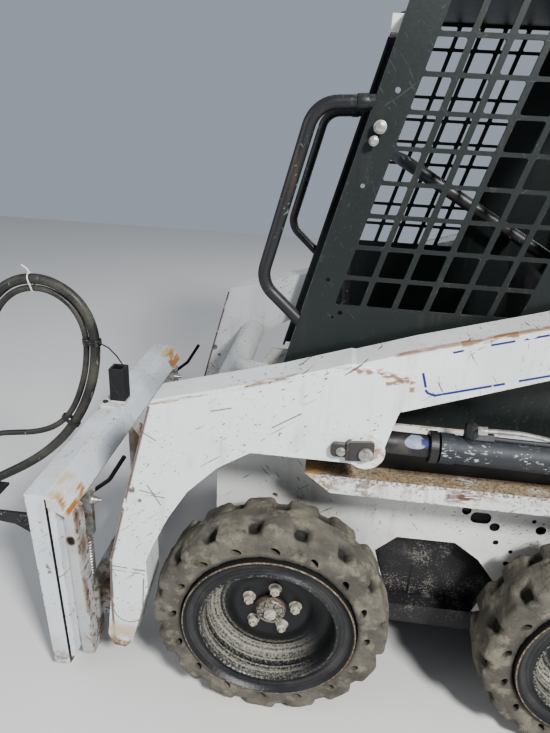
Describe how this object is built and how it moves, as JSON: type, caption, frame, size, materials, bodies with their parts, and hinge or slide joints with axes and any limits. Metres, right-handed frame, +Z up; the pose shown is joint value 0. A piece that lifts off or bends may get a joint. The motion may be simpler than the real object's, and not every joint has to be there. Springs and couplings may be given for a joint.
{
  "type": "skid steer loader",
  "caption": "Compact wheeled loader with lift arms, tilting tool carrier with mounting frame, open screened cab, solid tyres and a rear engine.",
  "frame": {"origin": "centre of the machine's footprint, on the ground", "axes": "+X forward, +Y to the machine's left, +Z up"},
  "size_m": [2.385, 1.208, 1.935],
  "materials": {
    "white_paint": "off-white machine enamel, chipped and dusty",
    "charcoal_paint": "charcoal enamel, scratched",
    "black_paint": "black enamel, worn",
    "chrome_rod": "hard chrome",
    "tyre_rubber": "solid rubber, grey with dust",
    "hose_rubber": "black hydraulic hose",
    "seat_vinyl": "black vinyl",
    "moulded_plastic": "black moulded plastic",
    "window_glass": "clear toughened glass",
    "lamp_red": "red lamp lens",
    "lamp_clear": "clear lamp lens",
    "zinc_steel": "zinc-plated steel, dull",
    "engine_iron": "cast iron, oily"
  },
  "bodies": {
    "chassis": {"frame_tub": "white_paint", "fenders": "white_paint", "cab_rails": "white_paint", "towers": "white_paint", "rear_bumper": "charcoal_paint", "engine_block": "engine_iron", "tail_lamps": "lamp_red", "axle_housings": "black_paint", "cab_side_left": "charcoal_paint", "cab_side_right": "charcoal_paint", "cab_roof": "charcoal_paint", "cab_rear": "charcoal_paint", "rear_window": "window_glass", "cab_sill": "charcoal_paint", "side_consoles": "charcoal_paint", "seat_base": "charcoal_paint", "seat_cushion": "seat_vinyl", "seat_back": "seat_vinyl", "control_levers": "black_paint", "grab_handles": "black_paint", "work_lamps": "lamp_clear"},
    "lap_bar": {"seat_bar": "black_paint"},
    "lid": {"engine_lid": "charcoal_paint"},
    "tail_door": {"rear_door": "white_paint"},
    "lift_arms": {"lift_arm_left": "white_paint", "lift_arm_right": "white_paint", "arm_cross_tube": "white_paint"},
    "left_lift_barrel": {"lift_barrel_left": "black_paint"},
    "left_lift_rod": {"lift_rod_left": "chrome_rod"},
    "right_lift_barrel": {"lift_barrel_right": "black_paint"},
    "right_lift_rod": {"lift_rod_right": "chrome_rod"},
    "tool_carrier": {"carrier": "white_paint", "lock_levers": "zinc_steel", "mounting_frame": "white_paint", "tool_socket": "black_paint", "hose_bracket": "black_paint", "hose_thick": "hose_rubber", "hose_thin": "hose_rubber", "hose_plug_thick": "zinc_steel", "hose_plug_thin": "zinc_steel"},
    "middle_tilt_barrel": {"tilt_barrel": "black_paint"},
    "middle_tilt_rod": {"tilt_rod": "chrome_rod"},
    "front_left_wheel": {"tyre_front_left": "tyre_rubber", "rim_front_left": "black_paint"},
    "front_right_wheel": {"tyre_front_right": "tyre_rubber", "rim_front_right": "black_paint"},
    "rear_left_wheel": {"tyre_rear_left": "tyre_rubber", "rim_rear_left": "black_paint"},
    "rear_right_wheel": {"tyre_rear_right": "tyre_rubber", "rim_rear_right": "black_paint"}
  },
  "joints": [
    {"name": "arm_lift", "type": "hinge", "parent": "chassis", "child": "lift_arms", "pos_m": [-0.938, 0, 1.43], "axis": [0, -1, 0], "range_deg": [0, 70]},
    {"name": "left_lift_barrel_swing", "type": "hinge", "parent": "chassis", "child": "left_lift_barrel", "pos_m": [-0.758, 0.505, 0.88], "axis": [0, -1, 0], "range_deg": [0, 63.7]},
    {"name": "left_lift_rod_slide", "type": "slide", "parent": "left_lift_barrel", "child": "left_lift_rod", "axis": [0.9999, 0, 0.0147], "range_m": [0, 0.65]},
    {"name": "right_lift_barrel_swing", "type": "hinge", "parent": "chassis", "child": "right_lift_barrel", "pos_m": [-0.758, -0.505, 0.88], "axis": [0, -1, 0], "range_deg": [0, 63.7]},
    {"name": "right_lift_rod_slide", "type": "slide", "parent": "right_lift_barrel", "child": "right_lift_rod", "axis": [0.9999, 0, 0.0147], "range_m": [0, 0.65]},
    {"name": "carrier_tilt", "type": "hinge", "parent": "lift_arms", "child": "tool_carrier", "pos_m": [0.827, 0, 0.185], "axis": [0, 1, 0], "range_deg": [-17, 106]},
    {"name": "tilt_barrel_swing", "type": "hinge", "parent": "lift_arms", "child": "middle_tilt_barrel", "pos_m": [0.487, 0, 0.795], "axis": [0, 1, 0], "range_deg": [-4, 1]},
    {"name": "tilt_rod_slide", "type": "slide", "parent": "middle_tilt_barrel", "child": "middle_tilt_rod", "axis": [0.6762, 0, -0.7367], "range_m": [-0.055, 0.315]},
    {"name": "lap_bar_swing", "type": "hinge", "parent": "chassis", "child": "lap_bar", "pos_m": [-0.313, 0, 1.262], "axis": [0, 1, 0], "range_deg": [0, 55]},
    {"name": "engine_lid_lift", "type": "hinge", "parent": "chassis", "child": "lid", "pos_m": [-0.543, 0, 1.05], "axis": [0, 1, 0], "range_deg": [0, 50]},
    {"name": "rear_door_swing", "type": "hinge", "parent": "chassis", "child": "tail_door", "pos_m": [-1.053, -0.357, 0.74], "axis": [0, 0, 1], "range_deg": [0, 100]},
    {"name": "front_left_wheel_spin", "type": "hinge", "parent": "chassis", "child": "front_left_wheel", "pos_m": [0.392, 0.512, 0.329], "axis": [0, 1, 0], "continuous": true},
    {"name": "front_right_wheel_spin", "type": "hinge", "parent": "chassis", "child": "front_right_wheel", "pos_m": [0.392, -0.512, 0.329], "axis": [0, 1, 0], "continuous": true},
    {"name": "rear_left_wheel_spin", "type": "hinge", "parent": "chassis", "child": "rear_left_wheel", "pos_m": [-0.498, 0.512, 0.329], "axis": [0, 1, 0], "continuous": true},
    {"name": "rear_right_wheel_spin", "type": "hinge", "parent": "chassis", "child": "rear_right_wheel", "pos_m": [-0.498, -0.512, 0.329], "axis": [0, 1, 0], "continuous": true}
  ],
  "couplings": [
    {"joint": "left_lift_barrel_swing", "follows": "arm_lift", "ratio": 0.896},
    {"joint": "left_lift_rod_slide", "follows": "arm_lift", "m_per_rad": 0.52794},
    {"joint": "right_lift_barrel_swing", "follows": "arm_lift", "ratio": 0.896},
    {"joint": "right_lift_rod_slide", "follows": "arm_lift", "m_per_rad": 0.52794},
    {"joint": "tilt_barrel_swing", "follows": "carrier_tilt", "ratio": -0.03},
    {"joint": "tilt_rod_slide", "follows": "carrier_tilt", "m_per_rad": 0.16902}
  ]
}
